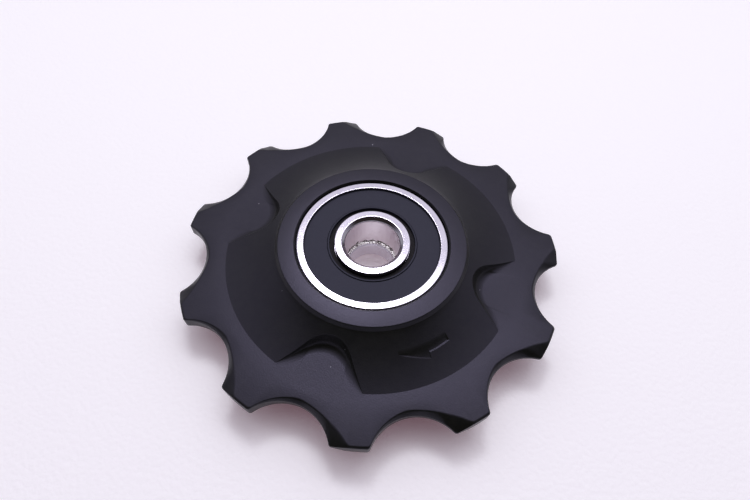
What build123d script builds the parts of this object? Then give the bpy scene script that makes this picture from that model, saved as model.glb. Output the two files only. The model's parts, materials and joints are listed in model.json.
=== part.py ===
from build123d import *
from math import cos, hypot, pi, radians, sin, sqrt, tan
import os

# An 11-tooth jockey wheel: a moulded plastic wheel on a sealed 6 x 17 x 6 mm ball bearing, with a
# flanged bush in the lower end of the bore. Millimetres. The bearing's centre is the origin and
# its axis is +Z. Every piece is a solid of its own.

# Chain and toothed disc
tooth_count = 11
chain_pitch = 12.7
roller_diameter = 7.75
gap_arc_radius = 4.9
tooth_length = 2.75
tooth_corner_radius = 0.35
disc_thickness = 1.6
first_tooth_angle = 103.96

# Lead-in bevels, on both faces of each tooth's leading flank
ridge_land = 0.3
bevel_arc_radius = 10.3

# Raised flare and boss, the same above and below the disc
flare_radius = 16.35
flare_hollow = 0.2
boss_width = 1.9
boss_wall_height = 0.45
boss_wall_run = 0.3
boss_lip = 0.15

# Pockets that part the flare into lobes
pocket_count = 4
first_pocket_angle = 73.8
pocket_spread = 90.0
pocket_apex_radius = 12.25
pocket_apex_round = 2.8
pocket_draft = 24.0
pocket_foot_fillet = 0.8

# Bearing
bearing_bore = 6.0
bearing_diameter = 17.0
bearing_width = 6.0
bearing_recess = 0.2
outer_ring_chamfer = 0.2
bore_chamfer = 0.42
inner_face_width = 1.17
outer_face_width = 0.92

# Balls and the tracks they run in
ball_count = 6
ball_diameter = 3.5
track_radius = 1.8
track_clearance = 0.02
inner_shoulder_height = 0.7
outer_shoulder_height = 0.65

# Cage of two pressed ribbons held by rivets, with a round pocket across them for each ball
cage_sheet = 0.25
cage_width = 1.0
cage_clearance = 0.04
rivet_diameter = 0.6
rivet_head_diameter = 1.0
rivet_head_height = 0.15
rivet_clearance = 0.01

# Rubber seals
seal_inset = 0.3
seal_thickness = 0.4
seal_rim_drop = 0.1
seal_rim_depth = 0.5
seal_groove_depth = 0.2
seal_rim_width = 0.45
seal_edge_clearance = 0.06
seal_gap_width = 0.67
seal_bead_height = 0.08
seal_bead_width = 0.16
seal_lip_thickness = 0.12
seal_lip_drop = 0.1
lip_clearance = 0.04

# Flanged bush in the lower end of the bore
bush_wall = 0.35
bush_sleeve_length = 1.6
bush_end_chamfer = 0.4
bush_end_rim = 0.07
bush_flange_reach = 1.1
bush_flange_thickness = 1.0
bush_flange_chamfer = 0.15

# Places worked out from the sizes above
pitch_radius = chain_pitch / (2 * sin(pi / tooth_count))
root_radius = pitch_radius - roller_diameter / 2
tip_radius = root_radius + tooth_length
gap_centre_radius = root_radius + gap_arc_radius
disc_top = disc_thickness / 2
ring_top = bearing_width / 2
boss_top = ring_top + bearing_recess
bore_radius = bearing_bore / 2
seat_radius = bearing_diameter / 2
boss_radius = seat_radius + boss_width
inner_land_radius = bore_radius + inner_face_width
outer_land_radius = seat_radius - outer_face_width
ball_radius = ball_diameter / 2
ball_centre_radius = (bore_radius + seat_radius) / 2
inner_track_centre = ball_centre_radius + track_radius - ball_radius - track_clearance
outer_track_centre = ball_centre_radius - track_radius + ball_radius + track_clearance
inner_shoulder_radius = ball_centre_radius - ball_radius + inner_shoulder_height
outer_shoulder_radius = ball_centre_radius + ball_radius - outer_shoulder_height
seal_top = ring_top - seal_inset
seal_under = seal_top - seal_thickness
seal_groove_top = seal_top - seal_rim_drop
seal_seat = seal_groove_top - seal_rim_depth
seal_opening_radius = inner_land_radius + seal_gap_width
groove_radius = outer_land_radius + seal_groove_depth
clear_cut = 1.0


def ring_of(outline):
    """Turns a closed half-section, drawn as radius and height, into a ring."""
    return revolve(make_face(Plane.XZ * outline), Axis.Z)


def gear_outline():
    """Plan of the toothed disc: tip circle less one round gap between each pair of teeth."""
    gap_turn = 180 / tooth_count
    gaps = PolarLocations(gap_centre_radius, tooth_count, start_angle=first_tooth_angle + gap_turn)
    outline = Circle(tip_radius) - gaps * Circle(gap_arc_radius)
    return fillet(outline.vertices(), tooth_corner_radius)


def lead_in_cutter():
    """Bevel beside one gap, on the upper face. The gap's centre lies on +X, and the bevel's side
    is +Y. It runs from the gap's own arc at the ridge to a wider arc, which shares the root."""
    land_top = ridge_land / 2
    growth = (bevel_arc_radius - gap_arc_radius) / (disc_top - land_top)
    cut_top = disc_top + clear_cut / 2
    wide_radius = gap_arc_radius + growth * (cut_top - land_top)
    narrow = half_disc(gap_arc_radius, root_radius, land_top)
    wide = half_disc(wide_radius, root_radius, cut_top)
    return loft([narrow, wide], ruled=True)


def half_disc(radius, near_edge, height):
    """Half a disc on its +Y side, whose nearest point to the wheel's axis is at near_edge."""
    start = (near_edge, 0)
    middle = (near_edge + radius, radius)
    end = (near_edge + 2 * radius, 0)
    edge = ThreePointArc(start, middle, end) + Line(end, start)
    return Plane.XY.offset(height) * make_face(edge)


def flare_section():
    """Half-section of the upper flare and boss: a short steep wall under the boss's edge, then a
    hollow slope down to the disc."""
    edge = (boss_radius, boss_top)
    wall_foot = (boss_radius + boss_wall_run, boss_top - boss_wall_height)
    rim = (flare_radius, disc_top)
    run = rim[0] - wall_foot[0]
    drop = wall_foot[1] - rim[1]
    chord = hypot(run, drop)
    hollow = (
        (wall_foot[0] + rim[0]) / 2 - flare_hollow * drop / chord,
        (wall_foot[1] + rim[1]) / 2 - flare_hollow * run / chord,
    )
    outline = Polyline((0, 0), (0, boss_top), edge, wall_foot)
    outline += ThreePointArc(wall_foot, hollow, rim)
    outline += Polyline(rim, (flare_radius, 0), (0, 0))
    return outline


def pocket_plan(growth):
    """Plan of one pocket with its centre line on +X: a wide V with a round apex, its outline moved
    outwards by growth."""
    half_spread = radians(pocket_spread / 2)
    apex_round = pocket_apex_round + growth
    centre = pocket_apex_radius + pocket_apex_round
    touch_x = centre - apex_round * sin(half_spread)
    touch_y = apex_round * cos(half_spread)
    reach_y = touch_y + (tip_radius - touch_x) * tan(half_spread)
    outline = ThreePointArc((touch_x, -touch_y), (centre - apex_round, 0), (touch_x, touch_y))
    outline += Polyline(
        (touch_x, touch_y), (tip_radius, reach_y), (tip_radius, -reach_y), (touch_x, -touch_y)
    )
    return make_face(outline)


def pocket_cutter():
    """One pocket of the upper flare: leaning walls down to the disc's face, round at the foot."""
    height = boss_top - disc_top + clear_cut
    foot = Plane.XY.offset(disc_top) * pocket_plan(0)
    mouth = Plane.XY.offset(disc_top + height) * pocket_plan(height * tan(radians(pocket_draft)))
    cutter = loft([foot, mouth], ruled=True)
    walls = cutter.faces().sort_by(Axis.Z)[0].edges().sort_by(Axis.X)[0:3]
    return fillet(walls, pocket_foot_fillet)


def wheel_body():
    """The moulded wheel: toothed disc, bevels, flare, pockets and the bearing's seat."""
    disc = extrude(gear_outline(), disc_thickness / 2, both=True)
    lead_in = lead_in_cutter()
    pocket = pocket_cutter()
    gap_turn = 180 / tooth_count
    gap_places = PolarLocations(0, tooth_count, start_angle=first_tooth_angle + gap_turn)
    pocket_places = PolarLocations(0, pocket_count, start_angle=first_pocket_angle)
    disc -= gap_places * lead_in
    disc -= gap_places * mirror(lead_in, Plane.XY)
    flare = ring_of(flare_section())
    flare += mirror(flare, Plane.XY)
    flare -= pocket_places * pocket
    flare -= pocket_places * mirror(pocket, Plane.XY)
    body = disc + flare
    body -= Cylinder(seat_radius, 2 * (boss_top + clear_cut))
    lip = ring_of(lip_section())
    body -= lip
    body -= mirror(lip, Plane.XY)
    return body


def lip_section():
    """Small lead-in at the mouth of the bearing's seat."""
    mouth = seat_radius + boss_lip
    outline = Polyline(
        (seat_radius - clear_cut, boss_top - boss_lip),
        (seat_radius, boss_top - boss_lip),
        (mouth, boss_top),
        (mouth, boss_top + clear_cut),
        (seat_radius - clear_cut, boss_top + clear_cut),
        (seat_radius - clear_cut, boss_top - boss_lip),
    )
    return outline


def track_height(centre, shoulder_radius):
    """Half-height of a ball track where it breaks out at its shoulder."""
    return sqrt(track_radius ** 2 - (shoulder_radius - centre) ** 2)


def outer_ring():
    """Outer ring: press-fit outside, ball track and a seal groove at each end inside."""
    edge = track_height(outer_track_centre, outer_shoulder_radius)
    track_bottom = outer_track_centre + track_radius
    half = [
        (outer_shoulder_radius, edge),
        (outer_shoulder_radius, seal_seat),
        (groove_radius, seal_seat),
        (groove_radius, seal_groove_top),
        (outer_land_radius, seal_top),
        (outer_land_radius, ring_top),
        (seat_radius - outer_ring_chamfer, ring_top),
        (seat_radius, ring_top - outer_ring_chamfer),
    ]
    lower = [(x, -z) for x, z in reversed(half)]
    outline = Polyline(*half, *lower)
    outline += ThreePointArc(lower[-1], (track_bottom, 0), half[0])
    return ring_of(outline)


def inner_ring():
    """Inner ring: bore for the axle, ball track, and a step at each end that the seal closes on."""
    edge = track_height(inner_track_centre, inner_shoulder_radius)
    track_bottom = inner_track_centre - track_radius
    half = [
        (inner_shoulder_radius, edge),
        (inner_shoulder_radius, seal_seat),
        (inner_land_radius, seal_seat),
        (inner_land_radius, ring_top),
        (bore_radius + bore_chamfer, ring_top),
        (bore_radius, ring_top - bore_chamfer),
    ]
    lower = [(x, -z) for x, z in reversed(half)]
    outline = Polyline(*half, *lower)
    outline += ThreePointArc(lower[-1], (track_bottom, 0), half[0])
    return ring_of(outline)


def upper_seal():
    """Rubber seal: a rim held in the outer ring's groove, a flat web, a bead round the opening and
    a thin lip that ends just clear of the inner ring."""
    opening = seal_opening_radius
    web_edge = outer_land_radius - seal_edge_clearance
    rim_inside = groove_radius - seal_rim_width
    rim_top = seal_groove_top - seal_edge_clearance
    lip_end = inner_land_radius + lip_clearance
    lip_under = seal_under - seal_lip_drop
    outline = Polyline(
        (groove_radius, seal_seat),
        (groove_radius, rim_top),
        (web_edge, seal_top),
        (opening + seal_bead_width, seal_top),
        (opening + seal_bead_width, seal_top + seal_bead_height),
        (opening, seal_top + seal_bead_height),
        (opening, seal_under + seal_lip_thickness),
        (lip_end, lip_under + seal_lip_thickness),
        (lip_end, lip_under),
        (opening, seal_under),
        (rim_inside, seal_under),
        (rim_inside, seal_seat),
        (groove_radius, seal_seat),
    )
    return ring_of(outline)


def lower_seal():
    """The same seal in the lower end."""
    return mirror(upper_seal(), Plane.XY)


def ball_places():
    """Where the balls sit, evenly round the track."""
    return PolarLocations(ball_centre_radius, ball_count)


def cage_band(low, high):
    """Flat ring as wide as the cage ribbon, between two heights."""
    middle = (low + high) / 2
    ring = Cylinder(ball_centre_radius + cage_width / 2, high - low)
    ring -= Cylinder(ball_centre_radius - cage_width / 2, high - low)
    return Pos(0, 0, middle) * ring


def ball_tunnels(radius):
    """A short cylinder round each ball, pointing at the wheel's axis."""
    tunnel = Rot(0, 90, 0) * Cylinder(radius, ball_diameter)
    return Part() + ball_places() * tunnel


def upper_cage():
    """Upper ribbon: flat between the balls, where it is riveted, and arched over each ball."""
    arch_inside = ball_radius + cage_clearance
    arch_outside = arch_inside + cage_sheet
    arches = cage_band(0, arch_outside + clear_cut) & ball_tunnels(arch_outside)
    ribbon = cage_band(0, cage_sheet) + arches
    ribbon -= ball_tunnels(arch_inside)
    ribbon -= rivet_places() * Cylinder(rivet_diameter / 2, 2 * cage_sheet + clear_cut)
    return ribbon


def lower_cage():
    """The same ribbon turned over."""
    return mirror(upper_cage(), Plane.XY)


def rivet_places():
    """Rivets halfway between the balls."""
    return PolarLocations(ball_centre_radius, ball_count, start_angle=180 / ball_count)


def cage_rivets():
    """Six rivets, each a shank through both ribbons with a flat head at each end."""
    shank_radius = rivet_diameter / 2 - rivet_clearance
    head = Cylinder(rivet_head_diameter / 2, rivet_head_height)
    head_height = cage_sheet + rivet_head_height / 2
    rivet = Cylinder(shank_radius, 2 * cage_sheet)
    rivet += Pos(0, 0, head_height) * head
    rivet += Pos(0, 0, -head_height) * head
    return Compound(children=[place * rivet for place in rivet_places()])


def lower_bush():
    """Flanged bush: a thin sleeve in the lower end of the bore, and a flange that spaces the
    bearing off the cage plate."""
    hole = bore_radius - bush_wall
    sleeve_end = bush_sleeve_length - ring_top
    flange_under = -ring_top - bush_flange_thickness
    flange = bore_radius + bush_flange_reach
    outline = Polyline(
        (hole, flange_under + bush_flange_chamfer),
        (hole + bush_flange_chamfer, flange_under),
        (flange - bush_flange_chamfer, flange_under),
        (flange, flange_under + bush_flange_chamfer),
        (flange, -ring_top),
        (bore_radius, -ring_top),
        (bore_radius, sleeve_end),
        (bore_radius - bush_end_rim, sleeve_end),
        (hole, sleeve_end - bush_end_chamfer),
        (hole, flange_under + bush_flange_chamfer),
    )
    return ring_of(outline)


def balls():
    """One ball for each place in the cage, named ball_1, ball_2 and so on."""
    return {f"ball_{n}": place * Sphere(ball_radius) for n, place in enumerate(ball_places(), 1)}


def build():
    """Every piece of the wheel by its name."""
    pieces = {
        "wheel_body": wheel_body(),
        "outer_ring": outer_ring(),
        "inner_ring": inner_ring(),
        "upper_seal": upper_seal(),
        "lower_seal": lower_seal(),
        "upper_cage": upper_cage(),
        "lower_cage": lower_cage(),
        "cage_rivets": cage_rivets(),
        "lower_bush": lower_bush(),
    }
    pieces.update(balls())
    return pieces


os.makedirs("parts", exist_ok=True)
for name, piece in build().items():
    export_step(piece, f"parts/{name}.step")
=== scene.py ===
import json
from math import cos, pi, radians, sin

import bmesh
import bpy
import numpy as np
from mathutils import Matrix, Vector

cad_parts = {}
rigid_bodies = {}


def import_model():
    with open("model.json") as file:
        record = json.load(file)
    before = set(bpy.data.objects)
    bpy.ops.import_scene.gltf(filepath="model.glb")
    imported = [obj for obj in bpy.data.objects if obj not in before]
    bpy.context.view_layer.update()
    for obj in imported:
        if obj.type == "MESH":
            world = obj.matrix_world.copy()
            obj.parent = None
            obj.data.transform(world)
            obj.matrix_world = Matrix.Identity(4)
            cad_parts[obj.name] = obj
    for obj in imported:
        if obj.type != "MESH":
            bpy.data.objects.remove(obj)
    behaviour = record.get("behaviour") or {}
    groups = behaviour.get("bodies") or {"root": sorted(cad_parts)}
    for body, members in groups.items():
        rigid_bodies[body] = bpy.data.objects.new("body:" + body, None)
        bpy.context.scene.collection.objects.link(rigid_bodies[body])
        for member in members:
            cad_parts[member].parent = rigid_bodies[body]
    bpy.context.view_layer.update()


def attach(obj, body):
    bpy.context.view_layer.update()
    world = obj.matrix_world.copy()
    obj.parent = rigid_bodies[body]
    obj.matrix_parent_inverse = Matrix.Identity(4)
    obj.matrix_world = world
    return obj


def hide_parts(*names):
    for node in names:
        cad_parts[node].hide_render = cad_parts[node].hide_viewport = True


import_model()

# The lower bush. A flanged bush turned from mild steel and pressed into the lower end of the bearing's
# bore. Its flange spaces the bearing off the cage plate, and the wheel lies on it. The end of its
# sleeve was left as the parting tool tore it; its glitter deep in the bore is painted highlight and
# glow.
mm = 0.001
bearing_half_width = 3.0 * mm
bore_radius = 3.0 * mm
bush_hole_radius = 2.65 * mm
bush_sleeve_length = 1.6 * mm
bush_end_chamfer = 0.4 * mm
bush_end_rim = 0.07 * mm
bush_flange_radius = 4.1 * mm
bush_flange_thickness = 1.0 * mm
bush_flange_chamfer = 0.15 * mm
bush_top = -bearing_half_width + bush_sleeve_length
bush_foot = -bearing_half_width - bush_flange_thickness
turned_columns = 192
flat_hold = 0.03 * mm
weld_distance = 0.0005 * mm
crisp_angle = radians(35)


class Wire:
    """A value in a node tree. Arithmetic on it adds Math nodes and gives the value they work out."""

    def __init__(self, socket):
        self.socket = socket

    def node(self, kind, settings=None, values=None, output=0):
        """Adds a node to this value's tree: its settings first, then values or links for its sockets.
        Gives one of the node's outputs."""
        tree = self.socket.id_data
        made = tree.nodes.new(kind)
        for name, setting in (settings or {}).items():
            setattr(made, name, setting)
        for key, value in (values or {}).items():
            if isinstance(value, Wire):
                tree.links.new(value.socket, made.inputs[key])
            else:
                made.inputs[key].default_value = value
        return Wire(made.outputs[output])

    def math(self, operation, *values):
        return self.node("ShaderNodeMath", {"operation": operation}, dict(enumerate(values)))

    def __add__(self, other):
        return self.math("ADD", self, other)

    def __sub__(self, other):
        return self.math("SUBTRACT", self, other)

    def __rsub__(self, other):
        return self.math("SUBTRACT", other, self)

    def __mul__(self, other):
        return self.math("MULTIPLY", self, other)

    def __truediv__(self, other):
        return self.math("DIVIDE", self, other)

    __radd__ = __add__
    __rmul__ = __mul__

    def along(self, axis):
        """This place's x, y or z, where axis is 0, 1 or 2."""
        return self.node("ShaderNodeSeparateXYZ", None, {0: self}, output=axis)

    def from_axle(self):
        """How far this place is from the wheel's axis."""
        x = self.along(0)
        y = self.along(1)
        squares = x * x + y * y
        return squares.math("SQRT", squares)

    def ripples(self, pitch):
        """A wave between -1 and 1 that comes round each time this value grows by pitch."""
        turn = self * (2 * pi / pitch)
        return turn.math("SINE", turn)

    def step(self, start, end):
        """0 below start and 1 above end, with a smooth rise between them."""
        values = {"Value": self, "From Min": start, "From Max": end}
        return self.node("ShaderNodeMapRange", {"interpolation_type": "SMOOTHSTEP"}, values)

    def noise(self, grain, detail=2.0):
        """Soft noise from 0 to 1 at this place, in blotches about as large as grain."""
        values = {"Vector": self, "Scale": 1 / grain, "Detail": detail}
        return self.node("ShaderNodeTexNoise", None, values)

    def cells(self, grain):
        """Cells about as large as grain. The value is 0 in the middle of each and rises to its edge."""
        return self.node("ShaderNodeTexVoronoi", None, {"Vector": self, "Scale": 1 / grain})

    def blend(self, first, second):
        """A colour between first and second, with this value as the share of the second. Sockets 6 and
        7 of a Mix node are its two colours, and output 2 is the colour between them."""
        values = {0: self, 6: first, 7: second}
        return self.node("ShaderNodeMix", {"data_type": "RGBA"}, values, output=2)

    def feed(self, shader, name):
        self.socket.id_data.links.new(self.socket, shader.inputs[name])

    def emboss(self, shader, depth):
        """Raises the surface by this value, from 0 to 1, times depth."""
        bump = self.node("ShaderNodeBump", None, {"Height": self, "Distance": depth, "Strength": 1.0})
        bump.feed(shader, "Normal")


def new_material(name, metallic):
    """A material, its shader, and the place on the piece that its patterns are drawn by."""
    material = bpy.data.materials.new(name)
    material.use_nodes = True
    shader = material.node_tree.nodes["Principled BSDF"]
    shader.inputs["Metallic"].default_value = metallic
    place = Wire(shader.outputs[0]).node("ShaderNodeTexCoord", output="Object")
    return material, shader, place


def round_off(before, corner, after, back_reach, ahead_reach, steps):
    """Points that round a corner. The rounding starts back_reach away along the side before the corner
    and ends ahead_reach away along the side after it, or nearer where that side is short."""
    most_of_side = 0.45
    no_length = 1e-12
    back = before - corner
    ahead = after - corner
    back_length = np.linalg.norm(back, axis=-1, keepdims=True) + no_length
    ahead_length = np.linalg.norm(ahead, axis=-1, keepdims=True) + no_length
    start = corner + back / back_length * np.minimum(back_reach, most_of_side * back_length)
    end = corner + ahead / ahead_length * np.minimum(ahead_reach, most_of_side * ahead_length)
    shares = np.linspace(0, 1, steps)
    return [(1 - s) ** 2 * start + 2 * s * (1 - s) * corner + s ** 2 * end for s in shares]


def grid_faces(rows, columns, closed):
    """The four-sided faces between rows and columns of points. Closed rows run all the way round."""
    faces = []
    for row in range(rows - 1):
        for column in range(columns if closed else columns - 1):
            beside = (column + 1) % columns
            faces.append((row * columns + column, row * columns + beside,
                          (row + 1) * columns + beside, (row + 1) * columns + column))
    return faces


def mesh_piece(name, points, faces, outwards=True):
    """An object with a smooth mesh, its doubles merged, and crisp only where it turns sharply. An open
    sheet isn't turned outwards, because its faces are drawn the right way."""
    mesh = bpy.data.meshes.new(name)
    mesh.from_pydata(points, [], faces)
    shell = bmesh.new()
    shell.from_mesh(mesh)
    bmesh.ops.remove_doubles(shell, verts=shell.verts, dist=weld_distance)
    if outwards:
        bmesh.ops.recalc_face_normals(shell, faces=shell.faces)
    shell.to_mesh(mesh)
    shell.free()
    mesh.shade_smooth()
    mesh.set_sharp_from_angle(angle=crisp_angle)
    piece = bpy.data.objects.new(name, mesh)
    bpy.context.scene.collection.objects.link(piece)
    return piece


def turned(name, corners, material):
    """A ring turned on a lathe. Each corner of its section is a radius, a height and a rounding. A
    narrow strip beside each rounding keeps the flats between them flat to the light."""
    places = [np.array(corner[:2]) for corner in corners]
    section = []
    for i, (corner, (_, _, rounding)) in enumerate(zip(places, corners)):
        before = places[i - 1]
        after = places[(i + 1) % len(places)]
        if rounding:
            held = rounding + flat_hold
            strip_start, strip_end = round_off(before, corner, after, held, held, steps=2)
            arc = round_off(before, corner, after, rounding, rounding, steps=4)
            section += [strip_start, *arc, strip_end]
        else:
            section.append(corner)
    section.append(section[0])
    turns = np.linspace(0, 2 * pi, turned_columns, endpoint=False)
    points = []
    for radius, height in section:
        points += [(radius * cos(turn), radius * sin(turn), height) for turn in turns]
    piece = mesh_piece(name, points, grid_faces(len(section), turned_columns, closed=True))
    piece.data.materials.append(material)
    return piece


tool_mark_pitch = 0.09 * mm
tear_grain = 0.14 * mm
tear_flake = 0.20 * mm
tear_depth = 0.12 * mm
tear_rise = (-1.70 * mm, -1.52 * mm)
torn_crests = (0.44, 0.56)
torn_glints = (0.48, 0.58)
turned_colour = (0.84, 0.83, 0.88, 1)
torn_hollow_shade_colour = (0.30, 0.26, 0.27, 1)
torn_crest_highlight_colour = (1.0, 0.98, 0.98, 1)
glint_colour = (0.85, 0.82, 0.84, 1)
black = (0, 0, 0, 1)

bush_steel, bush_shader, bush_place = new_material("turned bush steel", metallic=1.0)
turning_marks = bush_place.from_axle().ripples(tool_mark_pitch)
torn_grain = bush_place.noise(tear_grain, 4.0)
torn_flakes = bush_place.cells(tear_flake)
torn_end = bush_place.along(2).step(*tear_rise)
(torn_end * (torn_grain + torn_flakes) + 0.02 * turning_marks).emboss(bush_shader, tear_depth)
(0.22 + 0.16 * torn_grain).feed(bush_shader, "Roughness")
# Painted shade and highlight: the tear's hollows are painted dark and its crests pale.
torn_shade_and_highlight = torn_grain.step(*torn_crests).blend(torn_hollow_shade_colour, torn_crest_highlight_colour)
torn_end.blend(turned_colour, torn_shade_and_highlight).feed(bush_shader, "Base Color")
# The facets of the tear are too fine to model, so its highest grains glow as if they caught a light.
glints = torn_end * torn_grain.step(*torn_glints)
glints.blend(black, glint_colour).feed(bush_shader, "Emission Color")
bush_shader.inputs["Emission Strength"].default_value = 1.0

lower_bush = turned("lower_bush_turned", [
    (bush_hole_radius, bush_foot + bush_flange_chamfer, 0.03 * mm),
    (bush_hole_radius + bush_flange_chamfer, bush_foot, 0.03 * mm),
    (bush_flange_radius - bush_flange_chamfer, bush_foot, 0.05 * mm),
    (bush_flange_radius, bush_foot + bush_flange_chamfer, 0.05 * mm),
    (bush_flange_radius, -bearing_half_width, 0.04 * mm),
    (bore_radius, -bearing_half_width, 0),
    (bore_radius, bush_top, 0.02 * mm),
    (bore_radius - bush_end_rim, bush_top, 0.03 * mm),
    (bush_hole_radius, bush_top - bush_end_chamfer, 0.05 * mm),
], bush_steel)
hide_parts("lower_bush")
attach(lower_bush, "hub")

# The inner ring. Bearing steel, hardened and ground all over, with a chamfered entry to the bore and a
# deep track outside for the balls. The bolt clamps it, so it stands still while the wheel turns. Just
# above the bush, a ragged dark line of painted shadow runs round the bore, over the bush's torn end.
bore_chamfer = 0.42 * mm
inner_land_radius = bore_radius + 1.17 * mm
inner_shoulder_radius = 4.7 * mm
seal_seat = 2.1 * mm
inner_track_centre = 5.78 * mm
track_radius = 1.8 * mm
track_points = 17


def track_arc(centre, shoulder, side):
    """Points down a ball track, from its upper edge to its lower one. Side is 1 where the track faces
    the axis, and -1 where it faces away."""
    half_height = (track_radius ** 2 - (shoulder - centre) ** 2) ** 0.5
    heights = np.linspace(half_height, -half_height, track_points)
    return [(centre + side * (track_radius ** 2 - z ** 2) ** 0.5, z, 0) for z in heights]


def both_ends(half):
    """A ring's section from its upper half, which runs from the bore's middle to the track's edge."""
    return half, [(radius, -height, rounding) for radius, height, rounding in reversed(half)]


grinding_line = 0.05 * mm
smear_grain = 1.6 * mm
scratch_grain = 0.12 * mm
scratch_depth = 0.004 * mm
face_shades = (0.3, 0.7)
bore_edge = (3.01 * mm, 3.06 * mm)
shadow_edge_grain = 0.28 * mm
shadow_edge_unevenness = 1.4 * mm
shadow_edge_fade = (-1.98 * mm, -1.88 * mm)
face_dull_colour = (0.46, 0.45, 0.48, 1)
face_bright_colour = (0.55, 0.54, 0.56, 1)
bore_wall_colour = (0.86, 0.80, 0.83, 1)
painted_shadow_colour = (0.06, 0.04, 0.045, 1)

ground_steel, ground_shader, ground_place = new_material("ground bearing steel", metallic=1.0)
ground_distance = ground_place.from_axle()
# The grinding lines run round the ring, so their noise follows the distance from the axis alone.
ring_lines = ground_distance.node("ShaderNodeTexNoise", {"noise_dimensions": "1D"},
                                  {"W": ground_distance, "Scale": 1 / grinding_line, "Detail": 3.0})
hand_smears = ground_place.noise(smear_grain, 3.0)
fine_scratches = ground_place.noise(scratch_grain, 3.0)
ground_relief = ring_lines * 0.15 + fine_scratches * 0.65 + hand_smears * 0.2
ground_relief.emboss(ground_shader, scratch_depth)
in_bore = 1 - ground_distance.step(*bore_edge)
(0.06 + 0.04 * ring_lines + 0.06 * hand_smears + 0.24 * in_bore).feed(ground_shader, "Roughness")
face_brightness = (0.6 * ring_lines + 0.4 * hand_smears).step(*face_shades)
face_colour = face_brightness.blend(face_dull_colour, face_bright_colour)
clean_colour = in_bore.blend(face_colour, bore_wall_colour)
# Painted shadow: a ragged dark band in the bore just above the bush.
shadow_edge_height = ground_place.along(2) - shadow_edge_unevenness * ground_place.noise(shadow_edge_grain)
bore_painted_shadow = in_bore * (1 - shadow_edge_height.step(*shadow_edge_fade))
bore_painted_shadow.blend(clean_colour, painted_shadow_colour).feed(ground_shader, "Base Color")

inner_upper, inner_lower = both_ends([
    (bore_radius, bearing_half_width - bore_chamfer, 0.16 * mm),
    (bore_radius + bore_chamfer, bearing_half_width, 0.04 * mm),
    (inner_land_radius, bearing_half_width, 0.05 * mm),
    (inner_land_radius, seal_seat, 0),
    (inner_shoulder_radius, seal_seat, 0.04 * mm),
])
inner_track = track_arc(inner_track_centre, inner_shoulder_radius, side=-1)
inner_ring = turned("inner_ring_ground", inner_upper + inner_track + inner_lower, ground_steel)
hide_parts("inner_ring")
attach(inner_ring, "hub")

# The balls. Six chrome steel balls between the two tracks, lapped to a mirror and wet with grease.
# Each one rolls in its own pocket of the cage.
ball_count = 6
grease_blotch = 1.1 * mm
grease_patches = (0.45, 0.65)
lapping_grain = 0.5 * mm
lapping_depth = 0.001 * mm
clean_ball_colour = (0.72, 0.72, 0.73, 1)
greased_ball_colour = (0.60, 0.58, 0.53, 1)

ball_steel, ball_shader, ball_place = new_material("lapped ball steel", metallic=1.0)
grease_film = ball_place.noise(grease_blotch)
(0.05 + 0.12 * grease_film).feed(ball_shader, "Roughness")
ball_colour = grease_film.step(*grease_patches).blend(clean_ball_colour, greased_ball_colour)
ball_colour.feed(ball_shader, "Base Color")
ball_place.noise(lapping_grain, 1.0).emboss(ball_shader, lapping_depth)
for number in range(1, ball_count + 1):
    bpy.data.objects[f"ball_{number}"].material_slots[0].material = ball_steel

# The cage and its rivets. Two ribbons of thin steel strip, pressed into waves that wrap the balls and
# closed on each other by six small rivets. It keeps the balls evenly apart and goes round with them.
scuff_grain = 0.35 * mm
scuff_depth = 0.006 * mm
scuffed_patches = (0.4, 0.65)
strip_dark_colour = (0.44, 0.42, 0.39, 1)
strip_bright_colour = (0.58, 0.56, 0.52, 1)

cage_steel, cage_shader, cage_place = new_material("pressed cage strip", metallic=1.0)
press_scuffs = cage_place.noise(scuff_grain, 4.0)
(0.28 + 0.24 * press_scuffs).feed(cage_shader, "Roughness")
strip_colour = press_scuffs.step(*scuffed_patches).blend(strip_dark_colour, strip_bright_colour)
strip_colour.feed(cage_shader, "Base Color")
press_scuffs.emboss(cage_shader, scuff_depth)
for node_name in ("upper_cage", "lower_cage", "cage_rivets"):
    bpy.data.objects[node_name].material_slots[0].material = cage_steel

# The outer ring. Bearing steel again, ground outside to press into the plastic. Its ends are chamfered,
# and each has a stepped groove inside that grips the rim of a seal.
bearing_radius = 8.5 * mm
outer_chamfer = 0.2 * mm
outer_land_radius = 7.58 * mm
seal_groove_radius = 7.78 * mm
seal_groove_top = 2.6 * mm
seal_top = 2.7 * mm
outer_shoulder_radius = 6.85 * mm
outer_track_centre = 5.72 * mm

outer_upper, outer_lower = both_ends([
    (outer_shoulder_radius, seal_seat, 0.04 * mm),
    (seal_groove_radius, seal_seat, 0),
    (seal_groove_radius, seal_groove_top, 0),
    (outer_land_radius, seal_top, 0.02 * mm),
    (outer_land_radius, bearing_half_width, 0.06 * mm),
    (bearing_radius - outer_chamfer, bearing_half_width, 0.05 * mm),
    (bearing_radius, bearing_half_width - outer_chamfer, 0.05 * mm),
])
outer_track = track_arc(outer_track_centre, outer_shoulder_radius, side=1)[::-1]
outer_ring = turned("outer_ring_ground", outer_upper + outer_lower + outer_track, ground_steel)
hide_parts("outer_ring")
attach(outer_ring, "wheel")

# The seals. Each is a disc of nitrile rubber moulded over a steel washer. Its rim snaps into the outer
# ring's groove. Its inner edge has a fine raised bead, and a thin greasy lip under that runs beside the
# inner ring's land without touching it. The lip gets a darker, duller copy of the rubber: painted shade.
seal_rim_top = 2.54 * mm
seal_rim_radius = 7.52 * mm
seal_under = 2.3 * mm
seal_rim_inner_radius = 7.33 * mm
seal_opening_radius = 4.76 * mm
seal_bead_width = 0.19 * mm
seal_bead_height = 0.08 * mm
seal_crease = 0.07 * mm
seal_lip_radius = 4.21 * mm
seal_lip_top = 2.32 * mm
seal_lip_foot = 2.2 * mm
seal_lip_root = 2.42 * mm
lip_allowance = 0.01 * mm


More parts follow.
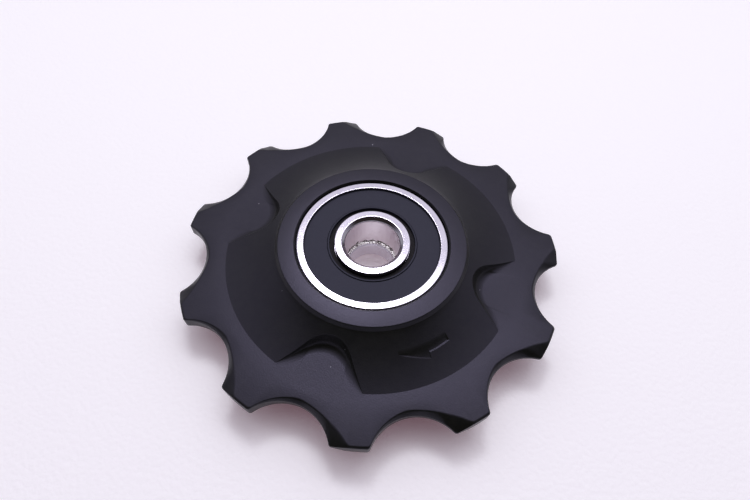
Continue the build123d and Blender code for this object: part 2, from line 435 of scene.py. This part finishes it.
def seal_section(side):
    """The corners of a seal's section. Side is 1 for the upper seal and -1 for the lower one."""
    upper = [
        (seal_groove_radius, seal_seat, 0),
        (seal_groove_radius, seal_rim_top, 0.03 * mm),
        (seal_rim_radius, seal_top, 0.08 * mm),
        (seal_opening_radius + seal_bead_width + seal_crease, seal_top, 0.02 * mm),
        (seal_opening_radius + seal_bead_width, seal_top - seal_crease, 0.03 * mm),
        (seal_opening_radius + seal_bead_width, seal_top + seal_bead_height, 0.035 * mm),
        (seal_opening_radius, seal_top + seal_bead_height, 0.04 * mm),
        (seal_opening_radius, seal_lip_root, 0),
        (seal_lip_radius, seal_lip_top, 0.03 * mm),
        (seal_lip_radius, seal_lip_foot, 0.03 * mm),
        (seal_opening_radius, seal_under, 0),
        (seal_rim_inner_radius, seal_under, 0),
        (seal_rim_inner_radius, seal_seat, 0),
    ]
    return [(radius, side * height, rounding) for radius, height, rounding in upper]


rubber_pore = 0.16 * mm
bloom_blotch = 2.4 * mm
bloomed_patches = (0.35, 0.7)
rubber_depth = 0.012 * mm
rubber_dark_colour = (0.007, 0.008, 0.012, 1)
rubber_bloom_colour = (0.012, 0.013, 0.019, 1)
lip_film_blotch = 0.3 * mm
lip_gloss_blotch = 0.2 * mm
lip_shade_colour = (0.006, 0.005, 0.006, 1)
lip_film_colour = (0.014, 0.013, 0.014, 1)

seal_rubber, seal_shader, seal_place = new_material("nitrile rubber", metallic=0.0)
seal_shader.inputs["Specular IOR Level"].default_value = 0.43
seal_shader.inputs["Specular Tint"].default_value = (0.80, 0.81, 1.0, 1)
rubber_grain = seal_place.noise(rubber_pore, 3.0)
rubber_bloom = seal_place.noise(bloom_blotch)
(rubber_grain * 0.7 + rubber_bloom * 0.3).emboss(seal_shader, rubber_depth)
(0.48 + 0.12 * rubber_grain + 0.10 * rubber_bloom).feed(seal_shader, "Roughness")
rubber_colour = rubber_bloom.step(*bloomed_patches).blend(rubber_dark_colour, rubber_bloom_colour)
rubber_colour.feed(seal_shader, "Base Color")

# Painted shade: the lip is a darker, less glossy copy of the seal's rubber, as it lies deep under the
# bead.
shaded_lip_rubber, lip_shader, lip_place = new_material("greased and shaded lip rubber", metallic=0.0)
lip_shader.inputs["Specular IOR Level"].default_value = 0.2
lip_colour = lip_place.noise(lip_film_blotch).blend(lip_shade_colour, lip_film_colour)
lip_colour.feed(lip_shader, "Base Color")
(0.5 + 0.3 * lip_place.noise(lip_gloss_blotch)).feed(lip_shader, "Roughness")

for seal_name, side in (("upper_seal", 1), ("lower_seal", -1)):
    seal = turned(seal_name + "_moulded", seal_section(side), seal_rubber)
    seal.data.materials.append(shaded_lip_rubber)
    for face in seal.data.polygons:
        if face.center.xy.length < seal_opening_radius - lip_allowance:
            face.material_index = 1
    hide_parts(seal_name)
    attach(seal, "wheel")

# The wheel body. One injection moulding of charcoal plastic, alike on both faces: a flat boss round the
# bearing, a hollow flare that four rounded pockets cut into lobes, and a thin disc with eleven teeth.
# Each tooth is thinned to a narrow edge on its leading side, so that the chain slips on to it.
tooth_count = 11
first_gap_angle = radians(87.596)
root_radius = 18.665 * mm
gap_arc_radius = 4.9 * mm
tip_radius = 21.415 * mm
tooth_corner_radius = 0.35 * mm
gap_arc_columns = 26
tooth_corner_columns = 6
tooth_tip_columns = 10
disc_half_thickness = 0.8 * mm
ridge_half_land = 0.15 * mm
bevel_arc_radius = 10.3 * mm
moulded_edge = 0.14 * mm
tip_chamfer = 0.16 * mm
root_chamfer = 0.42 * mm
ridge_edge = 0.06 * mm
pocket_count = 4
first_pocket_angle = radians(73.765)
boss_radius = 10.4 * mm
boss_top = 3.2 * mm
boss_lip = 0.15 * mm
boss_edge = 0.08 * mm
flare_start_radius = 10.7 * mm
flare_start_edge = 0.06 * mm
flare_top = 2.75 * mm
flare_foot_radius = 16.35 * mm
flare_hollow = 0.2 * mm
flare_rows = 9
pocket_apex_radius = 12.25 * mm
pocket_apex_round = 2.8 * mm
pocket_apex_half_turn = radians(8.8)
pocket_draft = radians(24)
pocket_foot_fillet = 0.8 * mm
pocket_rim = 0.16 * mm
disc_join_radius = 17.3 * mm
join_columns = 924
moulding_weld_distance = 0.002 * mm


def gap_outline():
    """The outline from the middle of a gap to the middle of the tooth beside it, as plan points: the
    gap's arc, the rounding of the tooth's corner and the tip. The gap's middle lies on the x axis."""
    gap_centre = np.array((root_radius + gap_arc_radius, 0))
    corner_distance = tip_radius - tooth_corner_radius
    reach = gap_arc_radius + tooth_corner_radius
    share = corner_distance ** 2 + gap_centre[0] ** 2 - reach ** 2
    share /= 2 * corner_distance * gap_centre[0]
    corner_turn = np.arccos(share)
    corner_centre = corner_distance * np.array((share, sin(corner_turn)))
    meeting_turn = np.arctan2(corner_centre[1], gap_centre[0] - corner_centre[0])
    middle_turn = pi / tooth_count
    points = []
    for turn in np.linspace(0, meeting_turn, gap_arc_columns, endpoint=False):
        points.append(gap_centre + gap_arc_radius * np.array((-cos(turn), sin(turn))))
    for turn in np.linspace(-meeting_turn, corner_turn, tooth_corner_columns, endpoint=False):
        points.append(corner_centre + tooth_corner_radius * np.array((cos(turn), sin(turn))))
    for turn in np.linspace(corner_turn, middle_turn, tooth_tip_columns + 1):
        points.append(tip_radius * np.array((cos(turn), sin(turn))))
    return np.array(points)


def tooth_sector():
    """The upper half of one tooth with half of the gap on each side of it, from the circle where the
    disc is joined, just outside the flare's foot, out to the edge."""
    half = gap_outline()
    columns = 2 * len(half) - 1
    turn = 2 * pi / tooth_count
    mirrored = half[-2::-1] * (1, -1) @ np.array(((cos(turn), sin(turn)), (-sin(turn), cos(turn))))
    outline = np.vstack((half, mirrored))
    turns = np.arange(columns) * 2 * pi / join_columns
    inside = disc_join_radius * np.column_stack((np.cos(turns), np.sin(turns)))
    level = np.full(columns, disc_half_thickness)
    run = outline - inside
    length = np.linalg.norm(run, axis=1)
    # The bevel's crest on the face is where a line from inside to the outline meets the bevel's arc.
    offset = inside - (root_radius + bevel_arc_radius, 0)
    half_b = (offset * run).sum(1) / length
    reach = half_b ** 2 - (offset ** 2).sum(1) + bevel_arc_radius ** 2
    crest = np.minimum(-half_b - np.sqrt(np.maximum(reach, 0)), length)
    # A circle that touches the gap's root runs through each point of the outline. The larger it is,
    # the higher the bevel stands at that point.
    least_depth = 1e-9
    depth = outline[:, 0] - root_radius
    circle = (depth ** 2 + outline[:, 1] ** 2) / (2 * np.maximum(depth, least_depth))
    slope = (disc_half_thickness - ridge_half_land) / (bevel_arc_radius - gap_arc_radius)
    edge = np.minimum(disc_half_thickness, ridge_half_land + (circle - gap_arc_radius) * slope)
    # The trailing flank has no bevel. A moulded chamfer runs all along, and is widest in the gap's root.
    order = np.arange(columns)
    near_root = np.clip(1 - np.minimum(order, columns - 1 - order) / gap_arc_columns, 0, 1)
    chamfer = tip_chamfer + (root_chamfer - tip_chamfer) * near_root
    trailing = (order == 0) | (order >= len(half))
    crest[trailing | (reach <= 0)] = length.max()
    crest = np.minimum(crest, length) - chamfer
    edge += (disc_half_thickness - root_chamfer - ridge_half_land) * near_root ** 2
    edge[trailing] = disc_half_thickness
    edge = np.minimum(edge, disc_half_thickness - chamfer)
    ring = np.column_stack((inside, level))
    crest_line = np.column_stack((inside + run / length[:, None] * crest[:, None], level))
    edge_line = np.column_stack((outline, edge))
    middle_line = np.column_stack((outline, 0 * level))
    rows = [ring]
    rows += round_off(ring, crest_line, edge_line, moulded_edge, moulded_edge, steps=5)
    rows += round_off(crest_line, edge_line, middle_line, ridge_edge, ridge_edge, steps=3)
    rows += [middle_line]
    faces = grid_faces(len(rows), columns, closed=False)
    return mesh_piece("tooth_sector", np.vstack(rows).tolist(), faces, outwards=False)


def flare_height(radius):
    """The height of the hollow flare at a distance from the axis. Its section is a shallow arc."""
    run = flare_foot_radius - flare_start_radius
    drop = flare_top - disc_half_thickness
    chord = (run ** 2 + drop ** 2) ** 0.5
    arc_radius = (chord ** 2 / 4 + flare_hollow ** 2) / (2 * flare_hollow)
    lift = (arc_radius - flare_hollow) / chord
    centre_radius = (flare_start_radius + flare_foot_radius) / 2 + lift * drop
    centre_height = (flare_top + disc_half_thickness) / 2 + lift * run
    return centre_height - np.sqrt(arc_radius ** 2 - (radius - centre_radius) ** 2)


def pocket_edge(turns, growth):
    """How far from the axis a pocket's wall stands, at each turn from the pocket's middle line. Its two
    straight walls stand at 45 degrees to that line and meet in a round apex. Growth is how far the
    wall has leaned out from its foot."""
    centre = pocket_apex_radius + pocket_apex_round
    arc = pocket_apex_round + growth
    turns = np.abs(turns)
    meeting = np.arctan2(arc * sin(pi / 4), centre - arc * cos(pi / 4))
    curved = centre * np.cos(turns) - np.sqrt(np.maximum(arc ** 2 - (centre * np.sin(turns)) ** 2, 0))
    straight = (centre - arc / sin(pi / 4)) / (np.cos(turns) - np.sin(turns))
    return np.minimum(np.where(turns < meeting, curved, straight), flare_foot_radius)


def lobe_sector():
    """The upper half of one pocket and half of the lobe on each side of it, from the bearing out to the
    circle where the disc is joined."""
    columns = join_columns // pocket_count + 1
    turns = (np.arange(columns) - (columns - 1) / 2) * 2 * pi / join_columns
    # How far the wall leans follows from its height, and its height from how far it leans, so a few
    # rounds settle both.
    settling_rounds = 12
    growth = np.zeros(columns)
    for _ in range(settling_rounds):
        wall_height = flare_height(pocket_edge(turns, growth)) - disc_half_thickness
        growth = wall_height * np.tan(pocket_draft)
    foot = pocket_edge(turns, 0 * growth)
    brink = pocket_edge(turns, growth)
    # The fillet is drawn along the radius, so it reaches further where the wall runs at a slant to it.
    widest_turn = pi / 8
    least_crossing = 0.3
    slanted = np.sin(pi / 4 - np.minimum(np.abs(turns), widest_turn))
    crossing = np.where(np.abs(turns) < pocket_apex_half_turn, 1 - np.abs(turns), slanted)
    fillet = (pocket_foot_fillet * (1 / np.maximum(crossing, least_crossing)))[:, None]

    def row(radius, height):
        return np.column_stack(np.broadcast_arrays(radius, 0 * turns + height))

    seat = row(bearing_radius, boss_top - boss_lip)
    lip = row(bearing_radius + boss_lip, boss_top)
    rim = row(boss_radius, boss_top)
    start = row(flare_start_radius, flare_top)
    past_start_radius = flare_start_radius + 0.4 * mm
    past_start = row(past_start_radius, flare_height(past_start_radius))
    top = row(brink, flare_height(brink))
    bottom = row(foot, disc_half_thickness)
    join = row(disc_join_radius, disc_half_thickness)
    rows = [row(bearing_radius, 0), seat, lip]
    rows += round_off(lip, rim, start, boss_edge, boss_edge, steps=5)
    rows += round_off(rim, start, past_start, flare_start_edge, flare_start_edge, steps=3)
    for share in np.linspace(0.1, 0.98, flare_rows):
        radius = flare_start_radius + share * (brink - flare_start_radius)
        rows.append(row(radius, flare_height(radius)))
    rows += round_off(rows[-1], top, bottom, pocket_rim, pocket_rim, steps=6)
    rows += round_off(top, bottom, join, pocket_foot_fillet, fillet, steps=6)
    rows.append(join)
    points = []
    for line in rows:
        points += [(r * cos(t), r * sin(t), z) for (r, z), t in zip(line, turns)]
    faces = grid_faces(len(rows), columns, closed=False)
    return mesh_piece("lobe_sector", points, faces, outwards=False)


def moulding_tree():
    """The nodes that set the tooth and the lobe round the wheel and mirror them to its lower face."""
    tree = bpy.data.node_groups.new("wheel moulding", "GeometryNodeTree")
    tree.interface.new_socket("Geometry", in_out="OUTPUT", socket_type="NodeSocketGeometry")
    for label, kind in (("Tooth", "Object"), ("Teeth", "Int"), ("First gap", "Float"),
                        ("Lobe", "Object"), ("Lobes", "Int"), ("First pocket", "Float"),
                        ("Weld distance", "Float"), ("Plastic", "Material")):
        tree.interface.new_socket(label, in_out="INPUT", socket_type="NodeSocket" + kind)
    inputs = tree.nodes.new("NodeGroupInput")
    given = {socket.name: Wire(socket) for socket in inputs.outputs}

    def set_round(sector, count, first):
        points = given[count].node("GeometryNodePoints", None, {"Count": given[count]})
        turn = points.node("GeometryNodeInputIndex") * 2 * pi / given[count] + given[first]
        rotation = turn.node("ShaderNodeCombineXYZ", None, {"Z": turn})
        shape = points.node("GeometryNodeObjectInfo", None, {"Object": given[sector]}, output="Geometry")
        return points.node("GeometryNodeInstanceOnPoints", None,
                           {"Points": points, "Instance": shape, "Rotation": rotation})

    def joined(*parts):
        join = tree.nodes.new("GeometryNodeJoinGeometry")
        for part in parts:
            tree.links.new(part.socket, join.inputs[0])
        return Wire(join.outputs[0])

    rings = joined(set_round("Tooth", "Teeth", "First gap"), set_round("Lobe", "Lobes", "First pocket"))
    upper = rings.node("GeometryNodeRealizeInstances", None, {"Geometry": rings})
    lower = upper.node("GeometryNodeTransform", None, {"Geometry": upper, "Scale": (1, 1, -1)})
    lower = lower.node("GeometryNodeFlipFaces", None, {"Mesh": lower})
    whole = joined(upper, lower)
    welded = whole.node("GeometryNodeMergeByDistance", None,
                        {"Geometry": whole, "Distance": given["Weld distance"]})
    painted = welded.node("GeometryNodeSetMaterial", None,
                          {"Geometry": welded, "Material": given["Plastic"]})
    ending = tree.nodes.new("NodeGroupOutput")
    tree.links.new(painted.socket, ending.inputs[0])
    return tree


def grown(name, tree, values):
    """An object with the plain mesh that a Geometry Nodes tree makes from its named inputs."""
    seed = bpy.data.objects.new(name, bpy.data.meshes.new(name + "_seed"))
    bpy.context.scene.collection.objects.link(seed)
    modifier = seed.modifiers.new("shape", "NODES")
    modifier.node_group = tree
    for socket in tree.interface.items_tree:
        if socket.in_out == "INPUT":
            modifier[socket.identifier] = values[socket.name]
    evaluated = seed.evaluated_get(bpy.context.evaluated_depsgraph_get())
    seed.data = bpy.data.meshes.new_from_object(evaluated)
    seed.modifiers.clear()
    return seed


spark_grain = 0.14 * mm
flow_blotch = 3.5 * mm
rub_grain = 0.7 * mm
plastic_depth = 0.010 * mm
pale_patches = (0.35, 0.68)
dust_spacing = 3.0 * mm
dust_rim = (0.018, 0.030)
plastic_dark_colour = (0.0054, 0.0060, 0.0036, 1)
plastic_pale_colour = (0.0084, 0.0092, 0.0058, 1)
dust_colour = (0.40, 0.40, 0.42, 1)

moulded_plastic, plastic_shader, plastic_place = new_material("moulded plastic", metallic=0.0)
plastic_shader.inputs["Specular IOR Level"].default_value = 0.345
plastic_shader.inputs["Specular Tint"].default_value = (0.78, 0.75, 1.0, 1)
spark_texture = plastic_place.noise(spark_grain, 3.0)
flow_blotches = plastic_place.noise(flow_blotch, 3.0)
rubbed = plastic_place.noise(rub_grain, 4.0)
(0.7 * spark_texture + 0.3 * rubbed).emboss(plastic_shader, plastic_depth)
(0.25 + 0.07 * spark_texture + 0.08 * flow_blotches).feed(plastic_shader, "Roughness")
paleness = (0.5 * flow_blotches + 0.5 * rubbed).step(*pale_patches)
clean_plastic = paleness.blend(plastic_dark_colour, plastic_pale_colour)
off_dust = plastic_place.cells(dust_spacing).step(*dust_rim)
off_dust.blend(dust_colour, clean_plastic).feed(plastic_shader, "Base Color")

tooth = tooth_sector()
lobe = lobe_sector()
wheel_body = grown("wheel_body_moulded", moulding_tree(), {
    "Tooth": tooth, "Teeth": tooth_count, "First gap": first_gap_angle,
    "Lobe": lobe, "Lobes": pocket_count, "First pocket": first_pocket_angle,
    "Weld distance": moulding_weld_distance, "Plastic": moulded_plastic})
for sector in (tooth, lobe):
    bpy.data.objects.remove(sector)

# The direction mark. A half arrow that a raised mark in the mould leaves sunk in the flare of one lobe.
# Its sides and its tail end slope, so that it leaves the mould cleanly. It shows which way the wheel
# turns under the chain. Each corner here is a turn in degrees and a distance from the axis.
arrow_tip = (-75.0, 13.0 * mm)
arrow_barb = (-62.0, 14.2 * mm)
arrow_notch = (-61.5, 13.6 * mm)
arrow_tail = (-51.0, 13.5 * mm)
arrow_tail_near = 12.75 * mm
arrow_depth = 0.09 * mm
arrow_near_slope = 0.22 * mm
arrow_far_slope = 0.17 * mm
arrow_end_slope = 0.15 * mm
arrow_rungs = 49
rung_corners = 4
moulded_crisp_angle = radians(21)


def arrow_rung(turn, near, far):
    """The four corners of the arrow's section at a turn: above the flare, down in it, and above it
    again. It is as deep as its sloping sides and its sloping tail end leave it."""
    least_share = 0.02
    to_tail = (radians(arrow_tail[0]) - turn) * near
    share = min(1, (far - near) / (arrow_near_slope + arrow_far_slope), to_tail / arrow_end_slope)
    radii = (near - arrow_near_slope, near + share * arrow_near_slope,
             far - share * arrow_far_slope, far + arrow_far_slope)
    depth = arrow_depth * max(share, least_share)
    lifts = (arrow_depth, -depth, -depth, arrow_depth)
    return [(r * cos(turn), r * sin(turn), flare_height(r) + lift) for r, lift in zip(radii, lifts)]


arrow_outline = np.array((arrow_tip, arrow_barb, arrow_notch, arrow_tail))
arrow_turns = np.linspace(arrow_tip[0], arrow_tail[0], arrow_rungs)
arrow_turns = np.unique(np.concatenate((arrow_turns, arrow_outline[:, 0])))
rungs = []
for turn in arrow_turns:
    near = np.interp(turn, (arrow_tip[0], arrow_tail[0]), (arrow_tip[1], arrow_tail_near))
    far = np.interp(turn, arrow_outline[:, 0], arrow_outline[:, 1])
    rungs += arrow_rung(radians(turn), near, far)
arrow_faces = grid_faces(len(arrow_turns), rung_corners, closed=True)
arrow_faces += [tuple(range(rung_corners)), tuple(range(len(rungs) - rung_corners, len(rungs)))]
arrow = mesh_piece("arrow_cutter", rungs, arrow_faces)
arrow.data.materials.append(moulded_plastic)
sinking = wheel_body.modifiers.new("arrow", "BOOLEAN")
sinking.operation = "DIFFERENCE"
sinking.solver = "EXACT"
sinking.object = arrow
sunk = wheel_body.evaluated_get(bpy.context.evaluated_depsgraph_get())
cut_mesh = bpy.data.meshes.new_from_object(sunk)
wheel_body.modifiers.clear()
wheel_body.data = cut_mesh
bpy.data.objects.remove(arrow)
wheel_body.data.shade_smooth()
wheel_body.data.set_sharp_from_angle(angle=moulded_crisp_angle)
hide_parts("wheel_body")
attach(wheel_body, "wheel")

# The floor, the lights and the camera. The wheel lies on a plain white sheet with a faint glow in its
# shadows. The room is pale overhead and behind and dark on the camera's side, with two soft panels up
# behind the wheel. Beyond the sheet a pale backdrop shows.
half_floor = 1.5
sheet_roughness = 0.6
sheet_grain = 0.5 * mm
sheet_grain_depth = 0.05 * mm
sheet_near_to_far = (-75 * mm, 45 * mm)
sheet_bounce_colour = (0.93, 0.94, 0.90, 1)
sheet_near_colour = (0.95, 1.02, 0.955, 1)
sheet_far_colour = (1.05, 1.13, 1.035, 1)
sheet_glow_colour = (0.119, 0.065, 0.083, 1)


def shown(place):
    """1 for a ray that shows this surface straight, in something shiny or through something clear."""
    rays = ("Is Camera Ray", "Is Glossy Ray", "Is Transmission Ray")
    return sum(place.node("ShaderNodeLightPath", output=ray) for ray in rays)


floor_white, floor_shader, floor_place = new_material("white sheet", metallic=0.0)
floor_shader.inputs["Roughness"].default_value = sheet_roughness
paper_grain = floor_place.noise(sheet_grain, 4.0)
# Painted light: seen straight, the sheet is painted brighter towards the back than near the camera.
lit_share = 0.8 * floor_place.along(1).step(*sheet_near_to_far) + 0.4 * paper_grain - 0.1
lit_sheet = lit_share.blend(sheet_near_colour, sheet_far_colour)
shown(floor_place).blend(sheet_bounce_colour, lit_sheet).feed(floor_shader, "Base Color")
shown(floor_place).blend(black, sheet_glow_colour).feed(floor_shader, "Emission Color")
floor_shader.inputs["Emission Strength"].default_value = 1.0
paper_grain.emboss(floor_shader, sheet_grain_depth)
floor_corners = [(side_x * half_floor, side_y * half_floor, bush_foot)
                 for side_x, side_y in ((-1, -1), (1, -1), (1, 1), (-1, 1))]
floor_mesh = bpy.data.meshes.new("floor")
floor_mesh.from_pydata(floor_corners, [], [(0, 1, 2, 3)])
floor_mesh.materials.append(floor_white)
floor = bpy.data.objects.new("floor", floor_mesh)
bpy.context.scene.collection.objects.link(floor)

room_to_overhead = (0.20, 0.95)
camera_side_to_back = (-0.45, 0.30)
backdrop_fade = (0.20, 0.36)
low_room_colour = (0.36, 0.34, 0.42, 1)
overhead_colour = (1.27, 1.20, 1.44, 1)
camera_side_colour = (0.036, 0.028, 0.028, 1)
backdrop_colour = (0.52, 0.50, 0.57, 1)

world = bpy.data.worlds.new("pale room")
world.use_nodes = True
background = world.node_tree.nodes["Background"]
sky = Wire(background.outputs[0]).node("ShaderNodeTexCoord", output="Generated")
sky_back = sky.along(1)
sky_height = sky.along(2)
pale_room = sky_height.step(*room_to_overhead).blend(low_room_colour, overhead_colour)
room = sky_back.step(*camera_side_to_back).blend(camera_side_colour, pale_room)
backdrop = shown(sky) * (1 - sky_height.step(*backdrop_fade))
backdrop.blend(room, backdrop_colour).feed(background, "Color")
background.inputs["Strength"].default_value = 1.0
bpy.context.scene.world = world

panel_distance = 0.4
panel_colour = (0.91, 0.87, 1.0)


def soft_panel(name, height_angle, right_angle, width, depth, brightness):
    """A soft light that faces the wheel from above and behind it. Its angles say how high it stands and
    how far to the right of straight behind. Brightness is how bright it looks, where 1 is white."""
    lamp = bpy.data.lights.new(name, "AREA")
    lamp.shape = "RECTANGLE"
    lamp.size = width
    lamp.size_y = depth
    lamp.energy = brightness * pi * width * depth
    lamp.color = panel_colour
    up = radians(height_angle)
    aside = radians(right_angle)
    aim = Vector((cos(up) * sin(aside), cos(up) * cos(aside), sin(up)))
    facing = aim.to_track_quat("Z", "Y").to_matrix().to_4x4()
    light = bpy.data.objects.new(name, lamp)
    light.matrix_world = Matrix.Translation(panel_distance * aim) @ facing
    bpy.context.scene.collection.objects.link(light)


soft_panel("long panel", height_angle=67, right_angle=16, width=0.24, depth=0.11, brightness=3.2)
soft_panel("short panel", height_angle=63.5, right_angle=-9, width=0.083, depth=0.070, brightness=13.0)

photo_width = 750
focal_length_in_pixels = 514.976
camera_place = Vector((0.344, -31.68, 50.17)) * mm
camera_elevation = radians(57.075)
camera_roll = radians(3.632)

camera_data = bpy.data.cameras.new("camera")
camera_data.sensor_width = 36.0
camera_data.lens = focal_length_in_pixels / photo_width * camera_data.sensor_width
camera_data.clip_start = 0.001
camera_data.clip_end = 10
sight = Vector((0, cos(camera_elevation), -sin(camera_elevation)))
right = sight.cross(Vector((0, 0, 1))).normalized()
above = right.cross(sight)
rolled_right = cos(camera_roll) * right + sin(camera_roll) * above
rolled_above = cos(camera_roll) * above - sin(camera_roll) * right
camera_axes = Matrix((rolled_right, rolled_above, -sight)).transposed().to_4x4()
camera = bpy.data.objects.new("camera", camera_data)
camera.matrix_world = Matrix.Translation(camera_place) @ camera_axes
bpy.context.scene.collection.objects.link(camera)
bpy.context.scene.camera = camera
bpy.context.scene.view_settings.view_transform = "Standard"
